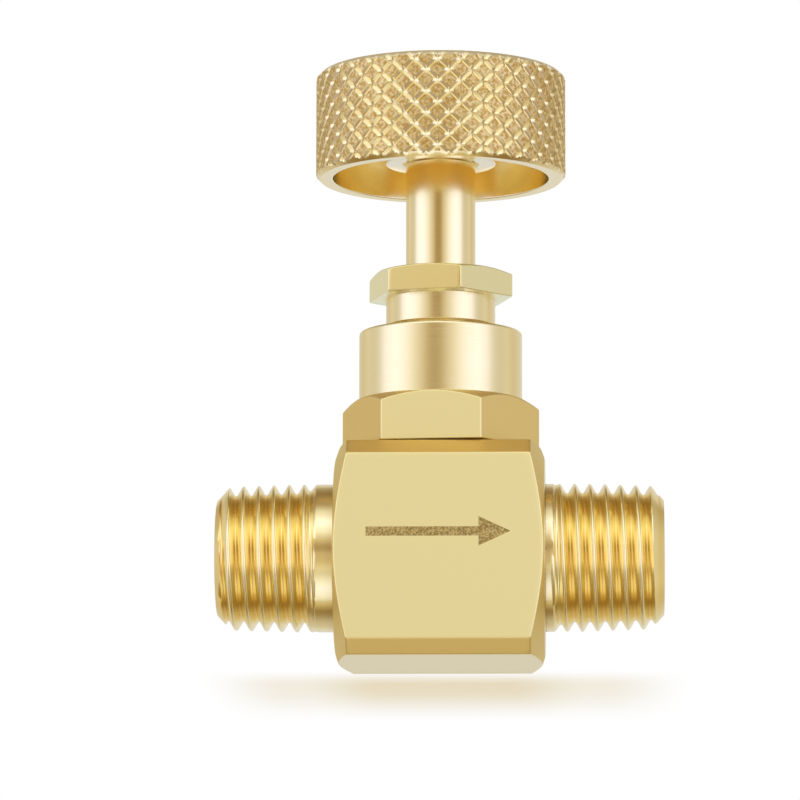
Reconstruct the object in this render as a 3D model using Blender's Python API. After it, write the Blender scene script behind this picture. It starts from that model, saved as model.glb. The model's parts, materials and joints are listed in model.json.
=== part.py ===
"""Needle valve with two male pipe ends, a knurled cup knob and a rising stem, shown closed.

Units are metres and +Z is up. The flow runs along X, the stem stands on the Z axis, and Z = 0 is the
underside of the square body. Every piece is its own object, and the two empties carry what moves:
stem_lift travels along the stem's axis and knob_turn turns about it.
"""

import math

import bmesh
import bpy
from mathutils import Matrix, Vector

MM = 0.001

# Overall sizes
overall_length = 41.4 * MM
overall_height = 55.6 * MM

# Square bar of the body
body_length = 19.45 * MM
body_height = 19.8 * MM
body_depth = 19.0 * MM
bar_edge_chamfer = 1.4 * MM
end_face_radius = 9.1 * MM
end_cone_angle = math.radians(19.5)

# Male pipe ends, 1/4-18 NPT
pipe_end_radius = 6.63 * MM
pipe_shank_radius = 6.86 * MM
pipe_taper = 1 / 32
pipe_pitch = 25.4 / 18 * MM
pipe_thread_depth = 0.95 * MM
pipe_end_chamfer = 1.3 * MM
pipe_chamfer_slope = 1.1
pipe_thread_start = 0.7 * MM
plain_shank_length = 0.75 * MM
pipe_end_overlap = 1.25 * MM
outlet_thread_angle = math.radians(74)
inlet_thread_angle = math.radians(-47)

# Ports and seat in the body
port_radius = 3.4 * MM
port_bottom_wall = 3.0 * MM
drill_point_angle = math.radians(59)
inlet_passage_radius = 1.3 * MM
outlet_passage_radius = 1.45 * MM
seat_below_flow_axis = 1.3 * MM
seat_radius = 1.5 * MM
seat_chamfer = 0.4 * MM
orifice_depth = 5.4 * MM
passage_overlap = 2.0 * MM
chamber_radius = 4.5 * MM
chamber_height = 3.1 * MM

# Bonnet: spigot, hexagon and collar
spigot_radius = 6.0 * MM
spigot_end_gap = 0.3 * MM
gasket_width = 1.05 * MM
gasket_thickness = 0.75 * MM
bonnet_across_flats = 16.0 * MM
bonnet_hex_height = 4.6 * MM
bonnet_hex_turn = math.radians(-5.0)
bonnet_chamfer_angle = math.radians(32)
collar_radius = 7.6 * MM
collar_height = 6.5 * MM
collar_edge_chamfer = 0.25 * MM

# Gland nut
gland_across_flats = 12.0 * MM
gland_hex_height = 2.45 * MM
gland_hex_turn = math.radians(-13.2)
gland_chamfer_angle = math.radians(18)
gland_neck_radius = 5.1 * MM
gland_neck_length = 3.2 * MM
gland_neck_plain = 2.75 * MM
gland_thread_radius = 4.85 * MM
gland_pitch = 1.0 * MM
gland_thread_depth = 0.5 * MM

# Packing stack
ring_radius = 4.3 * MM
packing_ring_thickness = 0.9 * MM
packing_washer_thickness = 0.6 * MM
follower_thickness = 0.9 * MM
web_thickness = 1.0 * MM

# Stem
stem_radius = 3.25 * MM
stem_lift = 3.0 * MM
spindle_radius = 3.95 * MM
spindle_land = 0.7 * MM
spindle_thread_radius = 4.0 * MM
spindle_thread_length = 3.8 * MM
spindle_pitch = 1.0 * MM
spindle_thread_depth = 0.55 * MM
needle_neck_radius = 2.2 * MM
needle_tip_radius = 0.35 * MM
needle_angle = math.radians(20)
spindle_shoulder = 0.8 * MM
thread_relief = 0.3 * MM
groove_radius = 3.0 * MM
groove_width = 1.5 * MM
o_ring_section = 0.5 * MM
spigot_top_radius = 2.5 * MM
drive_flat = 1.9 * MM
shoulder_chamfer = 0.35 * MM

# Knob
knob_radius = 11.7 * MM
knob_height = 9.9 * MM
knob_rim_wall = 1.6 * MM
knob_edge_chamfer = 0.35 * MM
knob_roof = 3.6 * MM
boss_radius = 5.2 * MM
boss_recess = 1.4 * MM
boss_edge = 0.2 * MM
boss_counterbore_depth = 0.5 * MM
top_recess_radius = 4.2 * MM
top_recess_depth = 1.6 * MM

# Knob screw and washer
washer_radius = 3.9 * MM
washer_thickness = 0.4 * MM
screw_radius = 1.5 * MM
screw_head_radius = 2.8 * MM
screw_head_height = 0.85 * MM
screw_length = 4.8 * MM
screw_slot_width = 0.7 * MM
screw_slot_depth = 0.45 * MM

# Clearances
joint_gap = 0.15 * MM
stack_gap = 0.1 * MM
running_clearance = 0.15 * MM
o_ring_clearance = 0.03 * MM
needle_clearance = 0.12 * MM
counterbore_clearance = 0.45 * MM
cut_margin = 1.0 * MM
merge_distance = 0.0005 * MM

# Shares
thread_run_out = 0.6
chamfer_start_share = 0.98

# Facets
large_segments = 64
round_segments = 48
small_segments = 32
pipe_columns = 24
small_columns = 20
section_points = 8

# Heights that follow from the sizes above
flow_axis = body_height / 2
seat_height = flow_axis - seat_below_flow_axis
ledge_height = seat_height + chamber_height
spigot_bottom = ledge_height + spigot_end_gap
bonnet_bottom = body_height + joint_gap
bonnet_shoulder = bonnet_bottom + bonnet_hex_height
collar_top = bonnet_shoulder + collar_height
gland_hex_bottom = collar_top + gland_neck_length
gland_top = gland_hex_bottom + gland_hex_height
knob_bottom = overall_height - knob_height
boss_face = knob_bottom + boss_recess
stem_shoulder = boss_face - 2 * stack_gap
recess_floor = overall_height - top_recess_depth

groove_bottom = spigot_bottom + spindle_land
groove_top = groove_bottom + groove_width
spindle_thread_bottom = groove_top + spindle_land
spindle_thread_top = spindle_thread_bottom + spindle_thread_length
backseat_height = spindle_thread_top + stem_lift + thread_relief
packing_floor = backseat_height + web_thickness
spindle_bore = spindle_thread_radius + running_clearance
stem_bore = stem_radius + running_clearance
packing_bore = ring_radius + stack_gap
spigot_bore = spigot_radius + running_clearance


def clear_scene():
    for old in list(bpy.data.objects):
        bpy.data.objects.remove(old, do_unlink=True)


def make_material(name, colour, roughness, metallic):
    material = bpy.data.materials.new(name)
    material.use_nodes = True
    shader = material.node_tree.nodes["Principled BSDF"]
    shader.inputs["Base Color"].default_value = (*colour, 1.0)
    shader.inputs["Roughness"].default_value = roughness
    shader.inputs["Metallic"].default_value = metallic
    return material


def finish_mesh(name, bm, material=None, sharp_angle=30):
    """Turns a bmesh into an object, smooth across round stretches and sharp at the edges."""
    bmesh.ops.recalc_face_normals(bm, faces=bm.faces)
    mesh = bpy.data.meshes.new(name)
    bm.to_mesh(mesh)
    bm.free()
    mesh.shade_smooth()
    mesh.set_sharp_from_angle(angle=math.radians(sharp_angle))
    if material:
        mesh.materials.append(material)
    obj = bpy.data.objects.new(name, mesh)
    bpy.context.scene.collection.objects.link(obj)
    return obj


def turned(name, outline, material=None, segments=round_segments):
    """Solid turned about Z from a closed outline of (radius, height) points."""
    bm = bmesh.new()
    rings = []
    for radius, height in outline:
        if radius <= 0:
            rings.append([bm.verts.new((0, 0, height))])
            continue
        ring = []
        for step in range(segments):
            angle = 2 * math.pi * step / segments
            ring.append(bm.verts.new((radius * math.cos(angle), radius * math.sin(angle), height)))
        rings.append(ring)
    for ring, following in zip(rings, rings[1:] + rings[:1]):
        for step in range(segments):
            after = (step + 1) % segments
            if len(ring) == 1 and len(following) == 1:
                break
            if len(ring) == 1:
                bm.faces.new((ring[0], following[step], following[after]))
            elif len(following) == 1:
                bm.faces.new((ring[step], ring[after], following[0]))
            else:
                bm.faces.new((ring[step], ring[after], following[after], following[step]))
    return finish_mesh(name, bm, material)


def bar(name, section, length, material=None):
    """Prism along +Z from a flat section of (x, y) points."""
    bm = bmesh.new()
    face = bm.faces.new([bm.verts.new((x, y, 0)) for x, y in section])
    grown = bmesh.ops.extrude_face_region(bm, geom=[face])["geom"]
    moved = [item for item in grown if isinstance(item, bmesh.types.BMVert)]
    bmesh.ops.translate(bm, verts=moved, vec=(0, 0, length))
    return finish_mesh(name, bm, material)


def threaded_rod(name, length, crest, limit, pitch, depth, columns, first, fade_end, start_angle=0.0):
    """Right-hand external thread along +Z, closed at both ends.

    crest(t) is the thread's outer radius at height t, and limit(t) is the cone that chamfers its
    ends. The groove passes height first at start_angle, and its depth runs out at fade_end. Each
    column of points stands one helix step higher than the last, so that the crest and root lines
    are edges of the mesh. Points past either end gather on its rim, where they are merged.
    """
    flank = depth * math.tan(math.radians(30))
    flat = pitch / 2 - flank
    offsets = (0.0, flat, flat + flank, 2 * flat + flank)
    turns = math.ceil((length - first) / pitch) + 3
    bm = bmesh.new()
    grid = []
    for column in range(columns):
        angle = start_angle + 2 * math.pi * column / columns
        line = []
        for index in range(4 * turns + 1):
            height = first + pitch * (index // 4 - 2 + column / columns) + offsets[index % 4]
            height = min(max(height, 0.0), length)
            fade = min(max((fade_end - height) / (thread_run_out * pitch), 0.0), 1.0)
            cut = depth * fade if index % 4 > 1 else 0.0
            radius = min(limit(height), crest(height) - cut)
            line.append(bm.verts.new((radius * math.cos(angle), radius * math.sin(angle), height)))
        grid.append(line)
    for column in range(columns):
        after = (column + 1) % columns
        here = grid[column]
        there = grid[after][4:] if after == 0 else grid[after]
        for index in range(len(there) - 1):
            bm.faces.new((here[index], there[index], there[index + 1]))
            bm.faces.new((here[index], there[index + 1], here[index + 1]))
    bmesh.ops.remove_doubles(bm, verts=bm.verts, dist=merge_distance)
    for height in (0.0, length):
        rim = [edge for edge in bm.edges if edge.is_boundary]
        rim = [edge for edge in rim if all(abs(vert.co.z - height) < merge_distance for vert in edge.verts)]
        bmesh.ops.holes_fill(bm, edges=rim)
    return finish_mesh(name, bm)


def combine(piece, other, operation):
    """Boolean on a piece. The other shape stays in the file as a hidden helper."""
    modifier = piece.modifiers.new(f"{operation.lower()} {other.name}", "BOOLEAN")
    modifier.operation = operation
    modifier.solver = "EXACT"
    modifier.object = other
    other.hide_render = True
    other.display_type = "WIRE"


def place(obj, location, rotation=(0, 0, 0)):
    obj.matrix_world = Matrix.LocRotScale(Vector(location), Matrix.Identity(3).to_quaternion(), None)
    obj.rotation_euler = rotation
    return obj


def polygon(across_flats, turn):
    """Corners of a hexagon, with a flat towards -Y when turn is zero."""
    corner = across_flats / 2 / math.cos(math.pi / 6)
    angles = [turn + math.pi / 3 * step for step in range(6)]
    return [(corner * math.cos(angle), corner * math.sin(angle)) for angle in angles]


def ring(name, inner, outer, bottom, thickness, material):
    top = bottom + thickness
    outline = [(inner, bottom), (outer, bottom), (outer, top), (inner, top)]
    return turned(name, outline, material, small_segments)


def pipe_crest(height):
    """Crest radius of the tapered pipe thread, measured from its free end inwards."""
    return min(pipe_end_radius + height * pipe_taper, pipe_shank_radius)


def pipe_limit(height):
    return pipe_end_radius - pipe_end_chamfer + height * pipe_chamfer_slope


def make_pipe_end(name, side, start_angle):
    length = (overall_length - body_length) / 2 + pipe_end_overlap
    fade_end = (overall_length - body_length) / 2 - plain_shank_length
    rod = threaded_rod(
        name, length, pipe_crest, pipe_limit, pipe_pitch, pipe_thread_depth, pipe_columns,
        pipe_thread_start, fade_end, start_angle,
    )
    return place(rod, (side * overall_length / 2, 0, flow_axis), (0, -side * math.pi / 2, 0))


def make_port(name, side):
    """Cutter for one port: a bore with a drill point, from the pipe end inwards."""
    depth = overall_length / 2 - chamber_radius - port_bottom_wall
    point = port_radius / math.tan(drill_point_angle)
    outline = [(0, depth + point), (port_radius, depth), (port_radius, -cut_margin), (0, -cut_margin)]
    cutter = turned(name, outline, segments=small_segments)
    return place(cutter, (side * overall_length / 2, 0, flow_axis), (0, -side * math.pi / 2, 0))


def make_passage(name, start, end, radius):
    """Cutter for a small drilled passage between two points of the XZ plane."""
    along = Vector((end[0] - start[0], 0, end[1] - start[1]))
    outline = [(0, along.length), (radius, along.length), (radius, 0), (0, 0)]
    cutter = turned(name, outline, segments=small_segments)
    return place(cutter, (start[0], 0, start[1]), (0, math.atan2(along.x, along.z), 0))


def make_body(material):
    half, edge = body_depth / 2, bar_edge_chamfer
    # The section is drawn with its x downwards, because the bar is then turned to lie along X.
    section = [
        (0, -half + edge), (-edge, -half), (edge - body_height, -half), (-body_height, -half + edge),
        (-body_height, half - edge), (edge - body_height, half), (-edge, half), (0, half - edge),
    ]
    body = bar("valve_body", section, body_length, material)
    place(body, (-body_length / 2, 0, 0), (0, math.pi / 2, 0))
    reach = math.hypot(body_height, body_depth)
    drop = (reach - end_face_radius) * math.tan(end_cone_angle)
    cone = turned("end_turning", [
        (0, -body_length / 2), (end_face_radius, -body_length / 2), (reach, drop - body_length / 2),
        (reach, body_length / 2 - drop), (end_face_radius, body_length / 2), (0, body_length / 2),
    ], segments=large_segments)
    place(cone, (0, 0, flow_axis), (0, math.pi / 2, 0))
    combine(body, cone, "INTERSECT")
    combine(body, make_pipe_end("inlet_thread", -1, inlet_thread_angle), "UNION")
    combine(body, make_pipe_end("outlet_thread", 1, outlet_thread_angle), "UNION")
    gasket_bore = spigot_bore + gasket_width + 2 * stack_gap
    gasket_floor = body_height - gasket_thickness
    orifice_bottom = seat_height - orifice_depth
    combine(body, turned("top_boring", [
        (0, orifice_bottom), (seat_radius, orifice_bottom), (seat_radius, seat_height - seat_chamfer),
        (seat_radius + seat_chamfer, seat_height), (chamber_radius, seat_height),
        (chamber_radius, ledge_height), (spigot_bore, ledge_height), (spigot_bore, gasket_floor),
        (gasket_bore, gasket_floor), (gasket_bore, body_height + cut_margin),
        (0, body_height + cut_margin),
    ]), "DIFFERENCE")
    port_end = chamber_radius + port_bottom_wall
    combine(body, make_port("inlet_boring", -1), "DIFFERENCE")
    combine(body, make_port("outlet_boring", 1), "DIFFERENCE")
    inlet_start = (-port_end - passage_overlap, flow_axis - inlet_passage_radius)
    inlet_end = (seat_radius / 4, orifice_bottom + inlet_passage_radius / 3)
    combine(body, make_passage("inlet_drilling", inlet_start, inlet_end, inlet_passage_radius), "DIFFERENCE")
    outlet_height = (seat_height + ledge_height) / 2
    outlet_start = (chamber_radius / 2, outlet_height)
    outlet_end = (port_end + passage_overlap / 2, outlet_height)
    combine(body, make_passage("outlet_drilling", outlet_start, outlet_end, outlet_passage_radius), "DIFFERENCE")
    return body


def hexagon_with_chamfer(name, across_flats, turn, bottom, top, chamfer_angle, material):
    """Hexagon whose top corners are turned off to a cone that starts at the flats' circle."""
    nut = bar(name, polygon(across_flats, turn), top - bottom, material)
    place(nut, (0, 0, bottom))
    flat, reach = across_flats / 2 * chamfer_start_share, across_flats
    fall = (reach - flat) * math.tan(chamfer_angle)
    cone = turned(name + "_chamfer", [
        (0, bottom - cut_margin - fall), (reach, bottom - cut_margin - fall), (reach, top - fall),
        (flat, top), (0, top),
    ], segments=large_segments)
    combine(nut, cone, "INTERSECT")
    return nut


def packing_heights():
    """Bottom height of each piece in the packing chamber, then of the gland nut."""
    heights = [packing_floor + stack_gap]
    thicknesses = [packing_washer_thickness] + 3 * [packing_ring_thickness] + [follower_thickness]
    for thickness in thicknesses:
        heights.append(heights[-1] + thickness + stack_gap)
    return heights


def make_bonnet(material):
    bonnet = hexagon_with_chamfer(
        "bonnet", bonnet_across_flats, bonnet_hex_turn, bonnet_bottom, bonnet_shoulder,
        bonnet_chamfer_angle, material,
    )
    edge = collar_edge_chamfer
    combine(bonnet, turned("bonnet_turning", [
        (0, spigot_bottom), (spigot_radius - edge, spigot_bottom), (spigot_radius, spigot_bottom + edge),
        (spigot_radius, bonnet_shoulder - edge), (collar_radius, bonnet_shoulder - edge),
        (collar_radius, collar_top - edge), (collar_radius - edge, collar_top), (0, collar_top),
    ], segments=large_segments), "UNION")
    thread_bore = gland_thread_radius + running_clearance
    gland_bottom = packing_heights()[-1]
    bore_step = gland_bottom - follower_thickness / 2
    combine(bonnet, turned("bonnet_boring", [
        (0, spigot_bottom - cut_margin), (spindle_bore, spigot_bottom - cut_margin),
        (spindle_bore, backseat_height), (stem_bore, backseat_height), (stem_bore, packing_floor),
        (packing_bore, packing_floor), (packing_bore, bore_step), (thread_bore, bore_step),
        (thread_bore, collar_top + cut_margin), (0, collar_top + cut_margin),
    ]), "DIFFERENCE")
    return bonnet


def make_gland_nut(material):
    nut = hexagon_with_chamfer(
        "gland_nut", gland_across_flats, gland_hex_turn, gland_hex_bottom, gland_top,
        gland_chamfer_angle, material,
    )
    neck_bottom = gland_hex_bottom - gland_neck_plain
    relief = gland_neck_radius - gland_thread_radius
    combine(nut, turned("gland_neck", [
        (0, neck_bottom - relief), (gland_thread_radius, neck_bottom - relief),
        (gland_neck_radius, neck_bottom), (gland_neck_radius, gland_hex_bottom + gland_hex_height / 2),
        (0, gland_hex_bottom + gland_hex_height / 2),
    ]), "UNION")
    bottom = packing_heights()[-1]
    length = neck_bottom - bottom + gland_neck_plain / 2

    def crest(height):
        return gland_thread_radius

    def limit(height):
        return gland_thread_radius - gland_thread_depth + height

    thread = threaded_rod(
        "gland_thread", length, crest, limit, gland_pitch, gland_thread_depth, small_columns,
        gland_thread_depth, length,
    )
    combine(nut, place(thread, (0, 0, bottom)), "UNION")
    bore = [(0, bottom - cut_margin), (stem_bore, bottom - cut_margin),
            (stem_bore, gland_top + cut_margin), (0, gland_top + cut_margin)]
    combine(nut, turned("gland_boring", bore), "DIFFERENCE")
    return nut


def make_packing(brass, ptfe):
    """The pieces under the gland nut, from the chamber floor upwards."""
    heights = packing_heights()
    ring("packing_washer", stem_bore, ring_radius, heights[0], packing_washer_thickness, brass)
    for level, height in zip(("lower", "middle", "upper"), heights[1:]):
        ring("packing_ring_" + level, stem_bore, ring_radius, height, packing_ring_thickness, ptfe)
    ring("gland_follower", stem_bore, ring_radius, heights[4], follower_thickness, brass)
    gasket_inner = spigot_bore + stack_gap
    gasket_bottom = body_height - gasket_thickness + stack_gap
    ring("bonnet_gasket", gasket_inner, gasket_inner + gasket_width, gasket_bottom,
         gasket_thickness - stack_gap, ptfe)


def make_stem(material):
    slope = math.tan(needle_angle)
    contact_height = seat_height - seat_chamfer
    contact_radius = seat_radius - needle_clearance
    tip = contact_height - (contact_radius - needle_tip_radius) / slope
    neck = contact_height + (needle_neck_radius - contact_radius) / slope
    land_bottom = groove_bottom - spindle_land
    root = spindle_thread_radius - spindle_thread_depth - running_clearance
    spigot_top = recess_floor - 4 * stack_gap
    stem = turned("stem", [
        (0, tip), (needle_tip_radius, tip), (needle_neck_radius, neck),
        (needle_neck_radius, max(neck, land_bottom - spindle_shoulder) + stack_gap),
        (spindle_radius, land_bottom + stack_gap),
        (spindle_radius, groove_bottom), (groove_radius, groove_bottom), (groove_radius, groove_top),
        (spindle_radius, groove_top), (spindle_radius, spindle_thread_bottom),
        (root, spindle_thread_bottom), (root, spindle_thread_top), (stem_radius, spindle_thread_top),
        (stem_radius, stem_shoulder - shoulder_chamfer), (stem_radius - shoulder_chamfer, stem_shoulder),
        (spigot_top_radius, stem_shoulder), (spigot_top_radius, spigot_top), (0, spigot_top),
    ], material)

    def crest(height):
        return spindle_thread_radius

    def limit(height):
        from_end = min(height, spindle_thread_length - height)
        return spindle_thread_radius - spindle_thread_depth + from_end

    thread = threaded_rod(
        "spindle_thread", spindle_thread_length, crest, limit, spindle_pitch, spindle_thread_depth,
        small_columns, spindle_thread_depth, spindle_thread_length + spindle_pitch,
    )
    combine(stem, place(thread, (0, 0, spindle_thread_bottom)), "UNION")
    wide = 4 * spigot_top_radius
    square = [(-wide, drive_flat), (wide, drive_flat), (wide, wide), (-wide, wide)]
    flat = bar("drive_flat_cut", square, spigot_top)
    combine(stem, place(flat, (0, 0, stem_shoulder + shoulder_chamfer)), "DIFFERENCE")
    hole = screw_radius + running_clearance
    hole_bottom = recess_floor + washer_thickness - screw_length - cut_margin
    boring = turned("screw_boring", [
        (0, hole_bottom), (hole, hole_bottom), (hole, spigot_top + cut_margin), (0, spigot_top + cut_margin),
    ], segments=small_segments)
    combine(stem, boring, "DIFFERENCE")
    return stem


def make_o_ring(material):
    centre = groove_radius + o_ring_clearance + o_ring_section
    middle = (groove_bottom + groove_top) / 2
    outline = []
    for step in range(section_points):
        angle = 2 * math.pi * step / section_points
        outline.append((centre + o_ring_section * math.cos(angle), middle + o_ring_section * math.sin(angle)))
    return turned("stem_o_ring", outline, material, small_segments)


def make_knob(material):
    inner = knob_radius - knob_rim_wall
    edge = knob_edge_chamfer
    top = overall_height
    ceiling = top - knob_roof
    counterbore = stem_radius + counterbore_clearance
    knob = turned("knob", [
        (inner, knob_bottom), (knob_radius - edge, knob_bottom), (knob_radius, knob_bottom + edge),
        (knob_radius, top - edge), (knob_radius - edge, top), (top_recess_radius, top),
        (top_recess_radius, recess_floor), (0, recess_floor), (0, boss_face + boss_counterbore_depth),
        (counterbore, boss_face + boss_counterbore_depth), (counterbore, boss_face),
        (boss_radius - boss_edge, boss_face), (boss_radius, boss_face + boss_edge),
        (boss_radius, ceiling), (inner, ceiling),
    ], material, large_segments)
    bore = spigot_top_radius + running_clearance
    drive = turned("drive_boring", [
        (0, boss_face - cut_margin), (bore, boss_face - cut_margin),
        (bore, top + cut_margin), (0, top + cut_margin),
    ])
    wide = 4 * spigot_top_radius
    flat_side = drive_flat + stack_gap
    square = [(-wide, -wide), (wide, -wide), (wide, flat_side), (-wide, flat_side)]
    limit = bar("drive_flat_limit", square, 2 * knob_height)
    combine(drive, place(limit, (0, 0, knob_bottom - cut_margin)), "INTERSECT")
    combine(knob, drive, "DIFFERENCE")
    return knob


def make_knob_fastening(brass, steel):
    bottom = recess_floor + stack_gap
    hole = screw_radius + running_clearance
    ring("knob_washer", hole, washer_radius, bottom, washer_thickness, brass)
    head_bottom = bottom + washer_thickness + stack_gap
    head_top = head_bottom + screw_head_height
    dome = screw_head_height / 3
    screw = turned("knob_screw", [
        (0, head_bottom - screw_length), (screw_radius - dome, head_bottom - screw_length),
        (screw_radius, head_bottom - screw_length + dome), (screw_radius, head_bottom),
        (screw_head_radius, head_bottom), (screw_head_radius, head_top - dome),
        (screw_head_radius - dome, head_top), (0, head_top),
    ], steel, small_segments)
    half, wide = screw_slot_width / 2, 2 * screw_head_radius
    section = [(-wide, -half), (wide, -half), (wide, half), (-wide, half)]
    slot = bar("slot_cut", section, screw_head_height)
    combine(screw, place(slot, (0, 0, head_top - screw_slot_depth)), "DIFFERENCE")
    return screw


def carry_moving_pieces():
    """Hangs the moving pieces on empties that stand on their joints' axes."""
    carriers = {"stem_lift": ("stem_o_ring",), "knob_turn": ("stem", "knob", "knob_washer", "knob_screw")}
    parent = None
    for joint, pieces in carriers.items():
        empty = bpy.data.objects.new(joint, None)
        empty.empty_display_size = stem_lift
        bpy.context.scene.collection.objects.link(empty)
        empty.parent = parent
        for piece in pieces:
            bpy.data.objects[piece].parent = empty
        parent = empty


def main():
    clear_scene()
    brass = make_material("brass", (0.80, 0.62, 0.30), 0.28, 1.0)
    knob_brass = make_material("knob_brass", (0.78, 0.58, 0.27), 0.32, 1.0)
    stem_brass = make_material("stem_brass", (0.82, 0.63, 0.33), 0.2, 1.0)
    ptfe = make_material("ptfe", (0.86, 0.86, 0.83), 0.55, 0.0)
    rubber = make_material("rubber", (0.03, 0.03, 0.03), 0.7, 0.0)
    steel = make_material("steel", (0.62, 0.62, 0.63), 0.3, 1.0)
    make_body(brass)
    make_bonnet(brass)
    make_gland_nut(brass)
    make_packing(brass, ptfe)
    make_stem(stem_brass)
    make_o_ring(rubber)
    make_knob(knob_brass)
    make_knob_fastening(brass, steel)
    carry_moving_pieces()


main()
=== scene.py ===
# %% [markdown]
# # The looks of a small brass needle valve
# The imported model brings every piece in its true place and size. On the real valve the pieces are
# turned and milled from brass bar, so what the eye reads is fine edges, threads, a knurl and the way
# polished and lapped metal mirrors a bright studio. This lesson rebuilds the seven pieces that show
# with fine meshes, gives every piece a procedural finish, and lights it like a small product.

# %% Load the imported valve
import json
import math

import bmesh
import bpy
import numpy as np
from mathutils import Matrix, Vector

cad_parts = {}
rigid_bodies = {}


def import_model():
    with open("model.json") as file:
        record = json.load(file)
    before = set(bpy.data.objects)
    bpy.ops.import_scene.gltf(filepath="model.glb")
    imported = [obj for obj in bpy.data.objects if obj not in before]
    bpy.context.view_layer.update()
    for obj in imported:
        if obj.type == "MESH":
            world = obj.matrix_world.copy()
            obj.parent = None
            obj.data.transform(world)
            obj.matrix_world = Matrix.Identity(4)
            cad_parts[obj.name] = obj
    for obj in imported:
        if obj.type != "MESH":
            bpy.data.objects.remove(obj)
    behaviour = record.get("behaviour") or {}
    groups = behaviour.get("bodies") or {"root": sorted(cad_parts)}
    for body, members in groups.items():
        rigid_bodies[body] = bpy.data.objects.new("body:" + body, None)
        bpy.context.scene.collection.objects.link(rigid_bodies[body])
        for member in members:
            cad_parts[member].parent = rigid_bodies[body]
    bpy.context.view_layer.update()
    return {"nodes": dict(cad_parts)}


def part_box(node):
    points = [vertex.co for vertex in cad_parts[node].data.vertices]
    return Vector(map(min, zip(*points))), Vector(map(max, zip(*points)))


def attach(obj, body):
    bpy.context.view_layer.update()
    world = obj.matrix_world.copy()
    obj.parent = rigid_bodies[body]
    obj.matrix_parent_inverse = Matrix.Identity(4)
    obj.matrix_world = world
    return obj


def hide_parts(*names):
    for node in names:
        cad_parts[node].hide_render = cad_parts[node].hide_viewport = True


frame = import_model()
MM = 0.001
MICRON = 1e-6
nodes = frame["nodes"]
print("nodes", sorted(nodes))

# %% [markdown]
# ## Sizes that come with the model
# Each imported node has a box, so the main heights and lengths are read from it and never typed in
# twice. Everything below is in millimetres until a mesh is made, because a machinist thinks in
# millimetres and the numbers stay readable.


# %% Read the main sizes
def low(node, axis):
    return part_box(node)[0]["XYZ".index(axis)] / MM


def high(node, axis):
    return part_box(node)[1]["XYZ".index(axis)] / MM


half_length = high("valve_body", "X")
body_height = high("valve_body", "Z")
body_depth = high("valve_body", "Y") - low("valve_body", "Y")
flow_axis = body_height / 2
collar_top = high("bonnet", "Z")
gland_top = high("gland_nut", "Z")
knob_top = high("knob", "Z")
knob_bottom = low("knob", "Z")
knob_radius = high("knob", "X")
print("half length", round(half_length, 3), "body", round(body_depth, 3), "x", round(body_height, 3))
print("collar top", round(collar_top, 3), "gland top", round(gland_top, 3))
print("knob from", round(knob_bottom, 3), "to", round(knob_top, 3))

# %% [markdown]
# ## Rows, rounded corners and skins
# A turned piece is a list of rows: each row is a ring of points with a radius and a height, and the
# skin joins each row to the next. A lathe modifier (Screw) could do it, but here a row may also hold
# a different radius at every angle, which makes hexagons, square bars and threads out of the same
# idea. A real edge is never perfectly sharp: the tool leaves it rounded by about a tenth of a
# millimetre, and that tiny round is what catches the light. So a third number on a row asks for its
# corner to be rounded off by that much.

# %% Rows with rounded corners
corner_rows = 4
longest_share = 0.45


def share_of(step, size):
    """How far along a step a rounded corner may reach."""
    length = np.maximum(np.hypot(step[0], step[1]), 1e-9)
    return np.minimum(size / length, longest_share)


def bend(start, corner, end, share):
    """A point of the small curve that takes a corner's place."""
    return (1 - share) ** 2 * start + 2 * share * (1 - share) * corner + share ** 2 * end


def rows_of(points, count):
    """Rows from (radius, height) points; a third number rounds that corner off by that much."""
    spots = np.zeros((len(points), 2, count))
    for spot, point in zip(spots, points):
        spot[0], spot[1] = point[0], point[1]
    rows = []
    for index, point in enumerate(points):
        here = spots[index]
        if len(point) < 3:
            rows.append(here)
            continue
        before = spots[index - 1] - here
        after = spots[(index + 1) % len(points)] - here
        start = here + before * share_of(before, point[2])
        end = here + after * share_of(after, point[2])
        for share in np.linspace(0, 1, corner_rows):
            rows.append(bend(start, here, end, share))
    return rows


print("a rounded corner takes", corner_rows, "rows")

# %% [markdown]
# The angles of the rows have to fit the section. A round piece takes even steps. A hexagon or a
# square bar takes the angles at which its own corners start and end, with more angles filled in
# along the flats, so that the round parts of the same piece stay round.


# %% Angles round a section
section_corner_points = 5
widest_turn = math.radians(2.4)


def even_angles(count):
    return np.linspace(0, 2 * math.pi, count + 1)


def section_of(corners, rounding):
    """(angles, radii) of a polygon with rounded corners, going once round its centre."""
    points = []
    for index, corner in enumerate(corners):
        before = np.subtract(corners[index - 1], corner)
        after = np.subtract(corners[(index + 1) % len(corners)], corner)
        start = corner + before * rounding / np.hypot(*before)
        end = corner + after * rounding / np.hypot(*after)
        for share in np.linspace(0, 1, section_corner_points):
            points.append(bend(start, np.array(corner), end, share))
    filled = []
    for here, following in zip(points, points[1:] + points[:1]):
        cross = here[0] * following[1] - here[1] * following[0]
        turn = math.atan2(cross, float(np.dot(here, following)))
        steps = max(1, math.ceil(turn / widest_turn))
        for step in range(steps):
            filled.append(here + (following - here) * step / steps)
    filled = np.array(filled + [filled[0]])
    angles = np.unwrap(np.arctan2(filled[:, 1], filled[:, 0]))
    return angles, np.hypot(filled[:, 0], filled[:, 1])


def hexagon(across_flats, turn):
    corner = across_flats / 2 / math.cos(math.pi / 6)
    turns = [turn + math.pi / 3 * step for step in range(6)]
    return [(corner * math.cos(angle), corner * math.sin(angle)) for angle in turns]


print("a hexagon section has", len(section_of(hexagon(16, 0), 0.1)[0]), "angles")

# %% [markdown]
# Points that fall on the same spot, such as the seam of the skin or the tip of a cone, are merged
# afterwards. After that each mesh should be closed, and the print counts the edges that are not.


# %% Make a mesh out of rows
weld = 3e-7


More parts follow.
